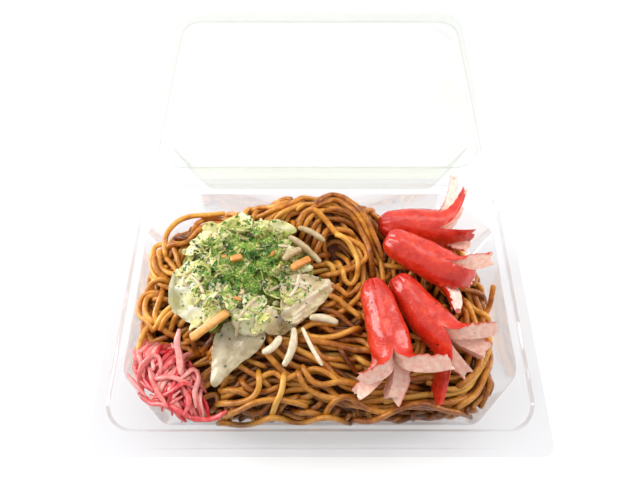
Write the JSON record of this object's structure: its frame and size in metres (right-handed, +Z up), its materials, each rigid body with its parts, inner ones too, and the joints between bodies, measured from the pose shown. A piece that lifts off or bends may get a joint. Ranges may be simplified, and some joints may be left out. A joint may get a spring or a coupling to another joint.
{
  "type": "yakisoba in a hinged food pack",
  "caption": "Fried noodles with cabbage, sprouts, carrot, red ginger and octopus-cut sausages in a clear shallow food pack whose hinged lid lies open behind it.",
  "frame": {"origin": "centre of the tray floor's underside", "axes": "+X to the right, +Y from the front edge back to the hinge and the open lid, +Z up out of the tray"},
  "size_m": [0.2, 0.2798, 0.0576],
  "materials": {
    "clear_plastic": "thin clear thermoformed sheet, smooth and glossy",
    "fried_noodle": "brown, sauce-coated, slightly glossy",
    "mixed_vegetables": "limp stir-fried vegetables with green seaweed flakes",
    "cabbage": "translucent pale green to cream, moist",
    "carrot": "moist orange",
    "bean_sprout": "translucent off-white, moist",
    "pickled_ginger": "translucent pink-red, wet",
    "sausage_skin": "glossy red skin with pale pink cut faces"
  },
  "bodies": {
    "pack": {"tray": "clear_plastic", "noodles": "fried_noodle", "vegetable_heap": "mixed_vegetables", "ginger_heap": "pickled_ginger", "cabbage_1": "cabbage", "cabbage_2": "cabbage", "cabbage_3": "cabbage", "cabbage_4": "cabbage", "cabbage_5": "cabbage", "cabbage_6": "cabbage", "carrot_1": "carrot", "carrot_2": "carrot", "carrot_3": "carrot", "sprout_1": "bean_sprout", "sprout_2": "bean_sprout", "sprout_3": "bean_sprout", "sprout_4": "bean_sprout", "sprout_5": "bean_sprout", "sprout_6": "bean_sprout", "sprout_7": "bean_sprout", "sausage_1": "sausage_skin", "sausage_2": "sausage_skin", "sausage_3": "sausage_skin", "sausage_4": "sausage_skin"},
    "lid": {"lid": "clear_plastic"}
  },
  "joints": [
    {"name": "lid_hinge", "type": "hinge", "parent": "pack", "child": "lid", "pos_m": [0, 0.07, 0.0322], "axis": [1, 0, 0], "range_deg": [0, 182.8]}
  ]
}
